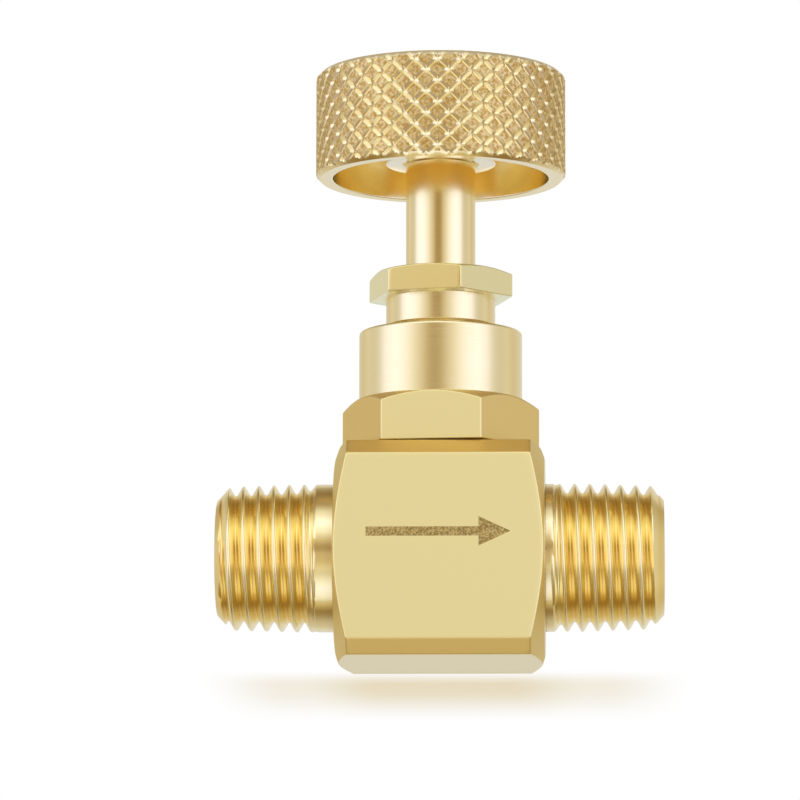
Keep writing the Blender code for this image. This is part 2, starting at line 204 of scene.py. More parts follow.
def solid(name, points, faces):
    """A mesh object from points in millimetres, merged where they touch, facing outwards if closed."""
    mesh = bpy.data.meshes.new(name)
    mesh.from_pydata((np.asarray(points) * MM).tolist(), [], faces)
    bm = bmesh.new()
    bm.from_mesh(mesh)
    bmesh.ops.remove_doubles(bm, verts=bm.verts, dist=weld)
    bmesh.ops.dissolve_degenerate(bm, edges=bm.edges, dist=weld)
    bmesh.ops.recalc_face_normals(bm, faces=bm.faces)
    open_edges = sum(1 for edge in bm.edges if len(edge.link_faces) != 2)
    if bm.calc_volume(signed=True) < 0:
        bmesh.ops.reverse_faces(bm, faces=bm.faces)
    bm.to_mesh(mesh)
    bm.free()
    piece = bpy.data.objects.new(name, mesh)
    bpy.context.scene.collection.objects.link(piece)
    print(name, len(mesh.polygons), "faces,", open_edges, "open edges")
    return piece


def grid_faces(row_count, column_count, loop):
    faces = []
    for row in range(row_count if loop else row_count - 1):
        above = (row + 1) % row_count
        for column in range(column_count - 1):
            faces.append((
                row * column_count + column, row * column_count + column + 1,
                above * column_count + column + 1, above * column_count + column,
            ))
    return faces


def grid_points(angles, rows, along):
    grid = np.array(rows)
    radius, height = grid[:, 0], grid[:, 1]
    across, up = radius * np.cos(angles), radius * np.sin(angles)
    if along == "X":
        return np.stack((height, across, up + flow_axis), axis=-1).reshape(-1, 3)
    return np.stack((across, up, height), axis=-1).reshape(-1, 3)


def skin(name, angles, rows, along="Z", loop=True):
    """Skin over rows about the Z axis, or about the flow axis along X."""
    return solid(name, grid_points(angles, rows, along), grid_faces(len(rows), len(angles), loop))


# %% [markdown]
# ## Threads
# A thread is one groove that winds round the piece. Cutting it with a Boolean tool leaves ragged
# triangles, so it is made directly: each row climbs one pitch per turn, and the seam closes because
# the last column of one row lies on the first column of a later one. Rows past either end are held
# at the end, where they merge into one plain ring. The crests and roots are rounded, as a die leaves
# them, and near the shoulder the groove runs out.


# %% Rows of a thread
run_out = 0.6
spare_laps = 3


def thread_profile(pitch, depth, crest_rounding, root_rounding):
    """(distance along the axis, cut) over one pitch, for flanks at 60 degrees to each other."""
    flank = depth * math.tan(math.radians(30))
    flat = pitch / 2 - flank
    corners = [(0, 0), (flat, 0), (flat + flank, depth), (2 * flat + flank, depth)]
    roundings = [crest_rounding, crest_rounding, root_rounding, root_rounding]
    chain = [(corners[-1][0] - pitch, depth), *corners, (pitch, 0)]
    profile = []
    for index, rounding in enumerate(roundings):
        before, here, after = np.array(chain[index:index + 3], float)
        start = here + (before - here) * share_of(before - here, rounding)
        end = here + (after - here) * share_of(after - here, rounding)
        for share in (0, 0.5, 1):
            profile.append(bend(start, here, end, share))
        if index in (1, 3):
            profile.append((end + after) / 2)
    return profile


def thread_rows(profile, pitch, length, first, turn, radius_at, fade_end, bottom=0):
    """Rows over a length from bottom up; turn is the share of a turn that each angle stands for."""
    rows = []
    for lap in range(-spare_laps, math.ceil((length - first) / pitch) + spare_laps):
        for offset, cut in profile:
            height = np.clip(first + pitch * (lap + turn) + offset, 0, length)
            fade = np.clip((fade_end - height) / (run_out * pitch), 0, 1)
            rows.append(np.array((radius_at(height, cut * fade), bottom + height)))
    return rows


def fine_thread(angles, bottom, length, depth, radius_at, fade_end):
    """Rows of a thread of 1 mm pitch about the stem's axis."""
    profile = thread_profile(1.0, depth, 0.05, 0.05)
    turn = angles / (2 * math.pi)
    return thread_rows(profile, 1.0, length, depth, turn, radius_at, fade_end, bottom)


pipe_pitch = 25.4 / 18
pipe_profile = thread_profile(pipe_pitch, depth=0.88, crest_rounding=0.2, root_rounding=0.16)
print("pipe thread:", len(pipe_profile), "rows per turn of", round(pipe_pitch, 3), "mm")

# %% [markdown]
# ## Drilled and milled cuts
# Holes that cross at an angle are easier to drill than to weave into rows. The Boolean modifier in
# its exact mode does that here, and its result is kept as the mesh.


# %% Cut one shape out of another
def cut(piece, tool, operation="DIFFERENCE"):
    modifier = piece.modifiers.new("cut", "BOOLEAN")
    modifier.operation = operation
    modifier.solver = "EXACT"
    modifier.object = tool
    bpy.context.view_layer.update()
    graph = bpy.context.evaluated_depsgraph_get()
    result = bpy.data.meshes.new_from_object(piece.evaluated_get(graph))
    piece.modifiers.clear()
    piece.data = result
    bpy.data.objects.remove(tool)
    return piece


def drill(name, start, end, radius, count=48):
    """A round tool between two points of the XZ plane, in millimetres."""
    along = np.subtract(end, start)
    length = float(np.hypot(*along))
    rows = rows_of([(0, length), (radius, length), (radius, 0), (0, 0)], count + 1)
    tool = skin(name, even_angles(count), rows, loop=False)
    tool.location = (start[0] * MM, 0, start[1] * MM)
    tool.rotation_euler = (0, math.atan2(along[0], along[1]), 0)
    return tool


def prism(name, outline, bottom, top):
    """A straight tool over a flat outline of (x, y) points, from one height to another."""
    count = len(outline)
    points = [(x, y, bottom) for x, y in outline] + [(x, y, top) for x, y in outline]
    mesh = bpy.data.meshes.new(name)
    faces = [tuple(range(count - 1, -1, -1)), tuple(range(count, 2 * count))]
    for index in range(count):
        after = (index + 1) % count
        faces.append((index, after, count + after, count + index))
    mesh.from_pydata([tuple(value * MM for value in point) for point in points], [], faces)
    tool = bpy.data.objects.new(name, mesh)
    bpy.context.scene.collection.objects.link(tool)
    return tool


def smooth(piece, sharp_angle=38):
    """Smooth over the small rounds, flat on the flats."""
    piece.data.shade_smooth()
    piece.data.set_sharp_from_angle(angle=math.radians(sharp_angle))
    modifier = piece.modifiers.new("flat faces stay flat", "WEIGHTED_NORMAL")
    modifier.keep_sharp = True
    modifier.weight = 80
    return piece


print("cutting tools ready")

# %% [markdown]
# ## The body
# The body is a length of square brass bar. Its four long edges are milled off, both ends are faced
# to a shallow cone in the lathe, and a tapered pipe thread is cut on each end. All of it goes round
# the flow axis, so it is one skin about X: port, mouth, thread, end face, cone, bar, and the same
# back on the other side. Where the cone meets the bar its edge bows, because the cone cuts the
# corners deeper than the flats. That bow comes out by itself from the radius of the section. The
# thread is cut from the mouth inwards, and a plain shank is left at its end, longer on the inlet.

# %% Body sizes
bar_half_length = 19.45 / 2
bar_edge = 1.4
end_face_radius = 9.1
end_slope = math.tan(math.radians(19.5))
pipe_end_radius, pipe_shank_radius = 6.63, 6.86
pipe_length = half_length - bar_half_length
port_radius = 3.4
port_bottom = 7.5
drill_point = port_radius / math.tan(math.radians(59))


def pipe_radius(height, cut_depth):
    """A crest that widens by 1 in 32, less the cut, inside the steep chamfer of the mouth."""
    crest = np.minimum(pipe_end_radius + height / 32, pipe_shank_radius)
    chamfer = pipe_end_radius - 1.3 + 1.1 * height
    return np.minimum(chamfer, crest - cut_depth)


half_depth, half_height = body_depth / 2, body_height / 2
bar_corners = [
    (half_depth, -half_height + bar_edge), (half_depth, half_height - bar_edge),
    (half_depth - bar_edge, half_height), (-half_depth + bar_edge, half_height),
    (-half_depth, half_height - bar_edge), (-half_depth, -half_height + bar_edge),
    (-half_depth + bar_edge, -half_height), (half_depth - bar_edge, -half_height),
]
bar_angles, bar_radii = section_of(bar_corners, 0.12)
bar_ends = bar_half_length - (bar_radii - end_face_radius) * end_slope
print("bar section", len(bar_angles), "angles")
print("cone edge from", round(bar_ends.min(), 2), "to", round(bar_ends.max(), 2))


# %% One end of the body
def body_end(side, start_degrees, shank):
    """Rows from the drill point of one port out to the mouth and back over the thread to the bar."""
    count = len(bar_angles)
    quarter = math.pi / 2
    turned_angle = quarter - bar_angles if side > 0 else bar_angles + quarter
    turn = (turned_angle - math.radians(start_degrees)) / (2 * math.pi)
    thread = thread_rows(
        pipe_profile, pipe_pitch, pipe_length, 0, turn, pipe_radius, pipe_length - shank,
    )
    mouth_radius = pipe_radius(0, 0)
    inside = rows_of([
        (0, half_length - port_bottom + drill_point), (port_radius, half_length - port_bottom),
        (port_radius, 0.2), (port_radius + 0.2, 0), (mouth_radius, 0),
    ], count)
    outside = rows_of([
        (pipe_shank_radius, pipe_length - 0.1), (pipe_shank_radius, pipe_length, 0.08),
        (end_face_radius, pipe_length, 0.25), (bar_radii, half_length - bar_ends, 0.14),
        (bar_radii, half_length - bar_ends + 0.6),
    ], count)
    rows = inside + thread + outside
    return [np.array((row[0], side * (half_length - row[1]))) for row in rows]


inlet_rows = body_end(-1, start_degrees=-47, shank=1.7)
outlet_rows = body_end(1, start_degrees=74, shank=0.75)
body = skin("valve_body_fine", bar_angles, inlet_rows + outlet_rows[::-1], along="X", loop=False)

# %% [markdown]
# Inside, the seat and the bonnet's seat are bored from above, and two small drillings join them to
# the ports. Little of it shows, but a look into a port ends at the right drill point and hole.

# %% Bore the body
seat_height = flow_axis - 1.3
ledge_height = seat_height + 3.1
seat_bore, chamber_bore, spigot_bore, gasket_bore = 1.5, 4.5, 6.15, 7.4
bore_bottom, gasket_floor = seat_height - 5.4, body_height - 0.75
boring_angles = even_angles(64)
boring_rows = rows_of([
    (0, bore_bottom), (seat_bore, bore_bottom), (seat_bore, seat_height - 0.4),
    (seat_bore + 0.4, seat_height), (chamber_bore, seat_height), (chamber_bore, ledge_height),
    (spigot_bore, ledge_height), (spigot_bore, gasket_floor), (gasket_bore, gasket_floor),
    (gasket_bore, body_height + 1), (0, body_height + 1),
], len(boring_angles))
boring = skin("body_boring", boring_angles, boring_rows, loop=False)
inlet_drill = drill("inlet_drilling", (-9.5, flow_axis - 1.3), (0.375, seat_height - 4.97), 1.3)
outlet_height = (seat_height + ledge_height) / 2
outlet_drill = drill("outlet_drilling", (2.25, outlet_height), (8.5, outlet_height), 1.45)
cut(boring, inlet_drill, "UNION")
cut(boring, outlet_drill, "UNION")
cut(body, boring)
print("body", len(body.data.polygons), "faces after boring")

# %% [markdown]
# A plain arrow for the direction of flow is marked on the front face. It is a real recess of a few
# hundredths of a millimetre, cut like a laser mark, so it is shape and not paint.

# %% Mark the flow arrow
arrow_half, arrow_height = 6.6, flow_axis + 1.25
shaft, barb, head = 0.42, 1.35, 2.9
arrow = [
    (-arrow_half, -shaft), (arrow_half - head, -shaft), (arrow_half - head, -barb), (arrow_half, 0),
    (arrow_half - head, barb), (arrow_half - head, shaft), (-arrow_half, shaft),
]
mark_depth = 0.05
mark = prism("flow_arrow_tool", arrow, half_depth - mark_depth, half_depth + 1)
mark.rotation_euler = (math.pi / 2, 0, 0)
mark.location = (0, 0, arrow_height * MM)
cut(body, mark)
smooth(body)
print("arrow", 2 * arrow_half, "mm long,", mark_depth, "mm deep")

# %% [markdown]
# ## The bonnet
# The bonnet is turned from hexagon bar: a hexagon to tighten it, a round collar above, a spigot
# below. The lathe chamfers the top of the hexagon, so each flat ends in an arc. As with the body,
# the chamfer's height follows from the radius of the section at each angle.


# %% Hexagon under a turned chamfer
def hexagon_points(radii, bottom, top, chamfer_start, chamfer_degrees, edge):
    """(radius, height, rounding) points up the outside of a hexagon with a chamfered top."""
    chamfer = top - (radii - chamfer_start) * math.tan(math.radians(chamfer_degrees))
    return [
        (radii, bottom, edge), (radii, np.minimum(chamfer, top), edge), (chamfer_start, top, edge),
    ]


bonnet_bottom = body_height + 0.15
bonnet_shoulder = bonnet_bottom + 4.6
collar_radius, spigot_radius = 7.6, 6.0
spindle_bore, stem_bore, packing_bore, gland_bore = 4.15, 3.4, 4.4, 5.0
spigot_bottom = low("bonnet", "Z")
packing_floor = low("packing_washer", "Z") - 0.1
bore_step = low("gland_nut", "Z") - 0.45
bonnet_angles, bonnet_radii = section_of(hexagon(16.0, math.radians(-5)), 0.14)
bonnet_points = [
    (spindle_bore, spigot_bottom), (spigot_radius - 0.25, spigot_bottom),
    (spigot_radius, spigot_bottom + 0.25), (spigot_radius, bonnet_bottom, 0.05),
    *hexagon_points(bonnet_radii, bonnet_bottom, bonnet_shoulder, 7.84, 32, 0.12),
    (collar_radius, bonnet_shoulder, 0.04), (collar_radius, collar_top, 0.3),
    (gland_bore + 0.25, collar_top, 0.2), (gland_bore, collar_top - 0.25), (gland_bore, bore_step),
    (packing_bore, bore_step), (packing_bore, packing_floor), (stem_bore, packing_floor),
    (stem_bore, packing_floor - 1), (spindle_bore, packing_floor - 1),
]
bonnet = skin("bonnet_fine", bonnet_angles, rows_of(bonnet_points, len(bonnet_angles)))
smooth(bonnet)

# %% [markdown]
# ## The gland nut
# The gland nut screws down into the collar and squeezes the packing round the stem. It has a thin
# hexagon, a plain neck that ends just above the collar, a narrow relief groove under the neck, and a
# thread that is hidden in the collar. The groove shows as a dark line between neck and collar. The
# thread's rows still fold over each other where it ends, so this mesh prints open edges.

# %% Gland nut
gland_bottom = low("gland_nut", "Z")
gland_hex_bottom = gland_top - 2.45
neck_bottom = collar_top + 0.6
neck_radius, gland_thread_radius, relief_radius = 5.1, 4.85, 4.35
gland_thread_top = neck_bottom - 0.5
gland_angles, gland_radii = section_of(hexagon(12.0, math.radians(-13.2)), 0.12)


def gland_radius(height, cut_depth):
    return np.minimum(relief_radius + height, gland_thread_radius - cut_depth)


gland_thread = fine_thread(
    gland_angles, gland_bottom, gland_thread_top - gland_bottom, 0.5, gland_radius,
    neck_bottom - gland_bottom,
)
gland_points = [
    (relief_radius, neck_bottom - 0.45), (relief_radius, neck_bottom, 0.05),
    (neck_radius, neck_bottom, 0.1), (neck_radius, gland_hex_bottom, 0.05),
    *hexagon_points(gland_radii, gland_hex_bottom, gland_top, 5.88, 18, 0.12),
    (stem_bore + 0.35, gland_top, 0.1), (stem_bore, gland_top - 0.35), (stem_bore, gland_bottom),
]
gland_rows = gland_thread + rows_of(gland_points, len(gland_angles))
gland = skin("gland_nut_fine", gland_angles, gland_rows)
smooth(gland)

# %% [markdown]
# ## The stem
# The stem is one turned piece: needle, seal groove, drive thread, polished shaft, and at the top a
# smaller spigot with one flat, which the knob sits on. The flat is a chord across the circle, so its
# radius at each angle is the distance to that chord. The shaft's shoulder stands inside the boss of
# the knob, in a counterbore that is cut when the knob is made.

# %% Sizes of the stem
stem_radius, land_radius, groove_radius, needle_radius = 3.25, 3.95, 3.0, 2.2
thread_radius, thread_root = 4.0, 3.3
drive_radius, drive_flat, screw_hole_radius = 2.5, 1.9, 1.65
boss_face = knob_bottom + 1.4
stem_bottom, stem_top = low("stem", "Z"), high("stem", "Z")
groove_bottom = spigot_bottom + 0.7
groove_top = groove_bottom + 1.5
thread_bottom = groove_top + 0.7
thread_length = 3.8
thread_top = thread_bottom + thread_length
stem_shoulder = boss_face + 0.35
screw_hole_bottom = low("knob_screw", "Z") - 1.1
flat_start = math.acos(drive_flat / drive_radius)
print("stem from", round(stem_bottom, 2), "to", round(stem_top, 2), "shoulder at", round(stem_shoulder, 2))


# %% Stem
def flatted(angles, radius, flat):
    """Radii of a round section with one flat across it."""
    chord = flat / np.maximum(np.sin(angles), 1e-6)
    return np.where(np.sin(angles) > 0, np.minimum(radius, chord), radius)


def spindle_radius(height, cut_depth):
    end_chamfer = np.minimum(height, thread_length - height)
    return np.minimum(thread_root + end_chamfer, thread_radius - cut_depth)


stem_angles = np.unique(np.concatenate((
    np.linspace(0, 2 * math.pi, 121), [math.pi / 2 - flat_start, math.pi / 2 + flat_start],
)))
drive_radii = flatted(stem_angles, drive_radius, drive_flat)
spindle_thread = fine_thread(
    stem_angles, thread_bottom, thread_length, 0.55, spindle_radius, thread_length + 1.2,
)
tip_radius, needle_slope = 0.35, math.tan(math.radians(20))
below = rows_of([
    (0, stem_bottom), (tip_radius, stem_bottom),
    (needle_radius, stem_bottom + (needle_radius - tip_radius) / needle_slope),
    (needle_radius, groove_bottom - 1.4), (land_radius, groove_bottom - 0.6),
    (land_radius, groove_bottom), (groove_radius, groove_bottom), (groove_radius, groove_top),
    (land_radius, groove_top), (land_radius, thread_bottom), (thread_root, thread_bottom),
], len(stem_angles))
above = rows_of([
    (thread_root, thread_top), (stem_radius, thread_top), (stem_radius, collar_top),
    (stem_radius, stem_shoulder - 0.35, 0.1), (stem_radius - 0.35, stem_shoulder, 0.06),
    (drive_radii, stem_shoulder), (drive_radii, stem_top - 0.15), (drive_radii - 0.15, stem_top),
    (screw_hole_radius, stem_top), (screw_hole_radius, screw_hole_bottom), (0, screw_hole_bottom),
], len(stem_angles))
stem = skin("stem_fine", stem_angles, below + spindle_thread + above, loop=False)
smooth(stem)

# %% [markdown]
# ## The knurled knob
# The knob is a cup turned from bar, with a cross-cut knurl rolled round it: two families of V
# grooves at about 47 degrees to the axis, leaving flat-topped diamonds. Displacing a plain grid
# would give every groove a saw edge. So the points stand on a diamond lattice whose edges run along
# the grooves: every second point is left out, in turn on odd and even rows. Each point's radius is
# the rim's radius less the deeper of the two grooves there, and never outside the edge chamfers.

# %% Lattice for the knurl
groove_count, steps_per_groove = 34, 20
half_steps = steps_per_groove * groove_count
knurl_depth = 0.2
groove_half_width = 0.2
chamfer_rows = 4
knob_height = knob_top - knob_bottom
knurl_angle = math.radians(47)
half_step = 2 * math.pi * knob_radius / half_steps
lattice_rows = 2 * round(knob_height / (half_step / math.tan(knurl_angle)) / 2)
row_height = knob_height / lattice_rows
knob_chamfer = chamfer_rows * row_height


def knurl_cut(across, up):
    """Depth of the knurl at lattice place (across, up), as a share of the full depth."""
    deepest = 0
    for lean in (1, -1):
        place = ((across + lean * up) / steps_per_groove) % 1
        away = min(place, 1 - place)
        deepest = max(deepest, 1 - away / groove_half_width)
    return max(deepest, 0)


def lattice_point(across, up):
    height = up * row_height
    chamfer = knob_radius - knob_chamfer + min(height, knob_height - height)
    radius = min(chamfer, knob_radius - knurl_depth * knurl_cut(across, up))
    angle = 2 * math.pi * across / half_steps
    return (radius * math.cos(angle), radius * math.sin(angle), knob_bottom + height)


lattice_columns = half_steps // 2
lattice_points = []
for up in range(lattice_rows + 1):
    for column in range(lattice_columns):
        lattice_points.append(lattice_point(2 * column + up % 2, up))
print(lattice_rows + 1, "rows of", lattice_columns, "points, one row every", round(row_height, 4), "mm")


# %% Faces of the lattice
def at(up, column):
    return up * lattice_columns + column % lattice_columns


lattice_faces = []
for up in range(lattice_rows - 1):
    shift = up % 2
    for column in range(lattice_columns):
        left, right = column - 1 + shift, column + shift
        lattice_faces.append(
            (at(up, column), at(up + 1, right), at(up + 2, column), at(up + 1, left)))
for column in range(lattice_columns):
    lattice_faces.append((at(0, column), at(0, column + 1), at(1, column)))
    top = lattice_rows
    lattice_faces.append((at(top, column + 1), at(top, column), at(top - 1, column)))
print(len(lattice_faces), "lattice faces")

# %% [markdown]
# The rest of the cup is turned: rim, inner wall, roof, the boss that takes the stem, and a shallow
# recess on top for the screw. It uses the same angles as the lattice, so the two skins share their
# edge rows and merge into one closed piece.

# %% Cup of the knob
rim_radius = knob_radius - knob_chamfer
inner_wall = knob_radius - 1.6
boss_radius, counterbore_radius, recess_radius = 5.2, 3.5, 4.2
roof_height = knob_top - 3.6
counterbore_floor = boss_face + 0.5
recess_floor = knob_top - 1.6
knob_angles = even_angles(lattice_columns)
hole_radii = flatted(knob_angles, 2.65, 2.0)
cup_rows = rows_of([
    (rim_radius, knob_top), (recess_radius, knob_top, 0.15), (recess_radius, recess_floor, 0.05),
    (hole_radii, recess_floor), (hole_radii, counterbore_floor),
    (counterbore_radius, counterbore_floor), (counterbore_radius, boss_face + 0.1),
    (counterbore_radius + 0.1, boss_face), (boss_radius, boss_face, 0.22),
    (boss_radius, roof_height, 0.3), (inner_wall, roof_height, 0.4),
    (inner_wall, knob_bottom, 0.14), (rim_radius, knob_bottom),
], len(knob_angles))
cup_points = grid_points(knob_angles, cup_rows, "Z")
cup_faces = grid_faces(len(cup_rows), len(knob_angles), loop=False)
shifted_faces = [tuple(index + len(cup_points) for index in face) for face in lattice_faces]
knob = solid("knob_fine", np.concatenate((cup_points, lattice_points)), cup_faces + shifted_faces)
smooth(knob, 34)

# %% [markdown]
# ## Washer and screw
# A slotted screw with a washer holds the knob on the stem. They show only from above, where the
# slot and the rounded head give the scale.

# %% Washer and screw
washer_bottom, washer_top = low("knob_washer", "Z"), high("knob_washer", "Z")
washer_radius = 3.9
small_angles = even_angles(96)
washer = skin("knob_washer_fine", small_angles, rows_of([
    (screw_hole_radius, washer_bottom), (washer_radius, washer_bottom, 0.06),
    (washer_radius, washer_top, 0.08), (screw_hole_radius, washer_top, 0.05),
], len(small_angles)))
smooth(washer)
screw_bottom, screw_top = low("knob_screw", "Z"), high("knob_screw", "Z")
head_bottom = screw_top - 0.85
screw_radius, head_radius = 1.5, 2.8
screw = skin("knob_screw_fine", small_angles, rows_of([
    (0, screw_bottom), (screw_radius - 0.3, screw_bottom), (screw_radius, screw_bottom + 0.3),
    (screw_radius, head_bottom), (head_radius, head_bottom, 0.06),
    (head_radius, screw_top - 0.3, 0.12), (head_radius - 0.45, screw_top - 0.03, 0.2), (0, screw_top),
], len(small_angles)), loop=False)
slot_half, slot_reach, slot_depth = 0.35, 6, 0.45
slot_outline = [
    (-slot_reach, -slot_half), (slot_reach, -slot_half), (slot_reach, slot_half), (-slot_reach, slot_half),
]
cut(screw, prism("slot_tool", slot_outline, screw_top - slot_depth, screw_top + 1))
smooth(screw)
print("washer and screw done")

# %% [markdown]
# ## Put the new pieces on their bodies
# Each fine piece stands for the imported node of the same shape and rides on that node's body.

# %% Ride and replace
stand_ins = [
    (body, "housing", "valve_body", "body_brass"),
    (bonnet, "housing", "bonnet", "bonnet_brass"),
    (gland, "housing", "gland_nut", "gland_brass"),
    (stem, "spindle", "stem", "stem_brass"),
    (knob, "spindle", "knob", "knob_brass"),
    (washer, "spindle", "knob_washer", "inner_brass"),
    (screw, "spindle", "knob_screw", "screw_steel"),
]
for piece, carrier, node_name, slot_name in stand_ins:
    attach(piece, carrier)
    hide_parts(node_name)
    print(piece.name, "rides on", carrier, "for", node_name)

# %% [markdown]
# ## Building finishes out of nodes
# Every finish is a small network of nodes. A few short helpers keep the networks readable: they make
# a node, a maths node, a mask or a mix from numbers or sockets, and build a group with named inputs
# and outputs.


# %% Node helpers
def add(tree, kind, inputs=None, **settings):
    """A node with its settings; inputs maps sockets to values or to the sockets that feed them."""
    made = tree.nodes.new(kind)
    for name, value in settings.items():
        setattr(made, name, value)
    for name, value in (inputs or {}).items():
        if isinstance(value, bpy.types.NodeSocket):
            tree.links.new(value, made.inputs[name])
        else:
            made.inputs[name].default_value = value
    return made


def maths(tree, operation, *values):
    return add(tree, "ShaderNodeMath", dict(enumerate(values)), operation=operation).outputs[0]


def times(tree, *values):
    """The product of masks or values."""
    product = values[0]
    for value in values[1:]:
        product = maths(tree, "MULTIPLY", product, value)
    return product


def vector(tree, operation, inputs, output="Vector"):
    return add(tree, "ShaderNodeVectorMath", inputs, operation=operation).outputs[output]


def span(tree, value, start, end, first=0.0, last=1.0, curve="LINEAR"):
    """Maps start..end onto first..last, held at both ends."""
    return add(tree, "ShaderNodeMapRange", {
        "Value": value, "From Min": start, "From Max": end, "To Min": first, "To Max": last,
    }, interpolation_type=curve).outputs["Result"]


def eased(tree, value, start, end):
    """Rises softly from 0 at start to 1 at end."""
    return span(tree, value, start, end, curve="SMOOTHSTEP")


def between(tree, value, first, last, soft=0.05):
    """1 from first to last, fading out over soft on both sides."""
    return times(tree, span(tree, value, first - soft, first), span(tree, value, last + soft, last))


def mix_colour(tree, factor, first, second):
    return add(tree, "ShaderNodeMix", {0: factor, 6: first, 7: second}, data_type="RGBA").outputs[2]


def mix_value(tree, factor, first, second):
    return add(tree, "ShaderNodeMix", {0: factor, 2: first, 3: second}, data_type="FLOAT").outputs[0]


def noise(tree, position, scale, detail, roughness):
    return add(tree, "ShaderNodeTexNoise", {
        "Vector": position, "Scale": scale, "Detail": detail, "Roughness": roughness,
    }).outputs["Fac"]


def new_group(name, inputs, outputs):
    tree = bpy.data.node_groups.new(name, "ShaderNodeTree")
    for label, kind, value in inputs:
        socket = tree.interface.new_socket(label, in_out="INPUT", socket_type=kind)
        if value is not None:
            socket.default_value = value
    for label, kind in outputs:
        tree.interface.new_socket(label, in_out="OUTPUT", socket_type=kind)
    return tree, tree.nodes.new("NodeGroupInput").outputs, tree.nodes.new("NodeGroupOutput").inputs


def place_group(tree, group, inputs):
    return add(tree, "ShaderNodeGroup", inputs, node_tree=group).outputs


FLOAT, VECTOR = "NodeSocketFloat", "NodeSocketVector"
print("node helpers ready")

# %% [markdown]
# ### Turning marks
# A lathe tool leaves fine rings round a piece. They are a noise that changes quickly along the axis and
# slowly round it. A ring texture would look printed; stretched noise gives rings that start, fade and stop
# as real ones do. The group gives a height for the bump and a tone, which the brass uses for its roughness.

# %% Group: turning marks
turning, source, sink = new_group("Turning marks", [
    ("Position", VECTOR, None), ("Rings per mm", FLOAT, 4.0), ("Waviness", FLOAT, 0.1),
    ("Axis", VECTOR, (0, 0, 1)),
], [("Height", FLOAT), ("Tone", FLOAT)])
along = vector(turning, "DOT_PRODUCT", {0: source["Position"], 1: source["Axis"]}, "Value")
ring_step = maths(turning, "MULTIPLY", along, source["Rings per mm"])
across_rings = vector(turning, "SCALE", {0: source["Axis"], "Scale": ring_step})
round_rings = vector(turning, "SCALE", {0: source["Position"], "Scale": source["Waviness"]})
stretched = vector(turning, "ADD", {0: across_rings, 1: round_rings})
ring_noise = noise(turning, stretched, 1.0, 3.0, 0.62)
turning.links.new(ring_noise, sink["Height"])
turning.links.new(span(turning, ring_noise, 0.3, 0.7), sink["Tone"])
print("turning marks:", len(turning.nodes), "nodes")

# %% [markdown]
# ### Metal grain
# Brass that has been lapped or drawn shows a very fine grain, and over larger areas a faint cloud
# of slightly redder and paler metal. The group gives both: a fine height and a slow tint.

# %% Group: metal grain
grain, source, sink = new_group("Metal grain", [
    ("Position", VECTOR, None), ("Grain per mm", FLOAT, 12.0), ("Clouds per mm", FLOAT, 0.25),
], [("Height", FLOAT), ("Tint", FLOAT)])
fine = noise(grain, source["Position"], source["Grain per mm"], 4.0, 0.7)
clouds = noise(grain, source["Position"], source["Clouds per mm"], 2.0, 0.5)
grain.links.new(fine, sink["Height"])
grain.links.new(span(grain, clouds, 0.3, 0.7), sink["Tint"])
print("metal grain:", len(grain.nodes), "nodes")

# %% [markdown]
# ### Edge wear
# Handling polishes the edges of brass first: they turn paler and smoother than the faces. The
# Geometry node's pointiness is above a half on outward edges, so a narrow span of it is the mask,
# broken up by noise so that it isn't the same all along an edge.

# %% Group: edge wear
wear, source, sink = new_group("Edge wear", [
    ("Position", VECTOR, None), ("Amount", FLOAT, 0.6), ("Start", FLOAT, 0.52), ("End", FLOAT, 0.6),
], [("Mask", FLOAT)])
pointiness = add(wear, "ShaderNodeNewGeometry").outputs["Pointiness"]
edge = span(wear, pointiness, source["Start"], source["End"])
uneven = span(wear, noise(wear, source["Position"], 0.9, 3.0, 0.5), 0.3, 0.65, 0.4, 1.0)
wear.links.new(times(wear, edge, uneven, source["Amount"]), sink["Mask"])
print("edge wear:", len(wear.nodes), "nodes")

# %% [markdown]
# ## The brass
# All the brass starts from the same recipe, and each piece changes the numbers: how fine the rings
# are, how rough it is, how warm. Position comes from the object's own coordinates turned into
# millimetres, so the finish moves with the piece.


# %% Start of every material
def start_material(name, metallic):
    material = bpy.data.materials.new(name)
    material.use_nodes = True
    tree = material.node_tree
    shader = tree.nodes["Principled BSDF"]
    shader.inputs["Metallic"].default_value = metallic
    coordinates = add(tree, "ShaderNodeTexCoord").outputs["Object"]
    return material, tree, shader, vector(tree, "SCALE", {0: coordinates, "Scale": 1 / MM})


def distance_from_axis(tree, **across):
    """Distance from an axis; across gives the two places that lie across it, such as X and Y."""
    spoke = add(tree, "ShaderNodeCombineXYZ", across).outputs[0]
    return vector(tree, "LENGTH", {0: spoke}, "Value")


print("materials start with a position in millimetres")

# %% Brass recipe
brass_pale, brass_warm = (0.96, 0.86, 0.62, 1), (0.93, 0.81, 0.53, 1)
brass_worn = (0.98, 0.92, 0.74, 1)


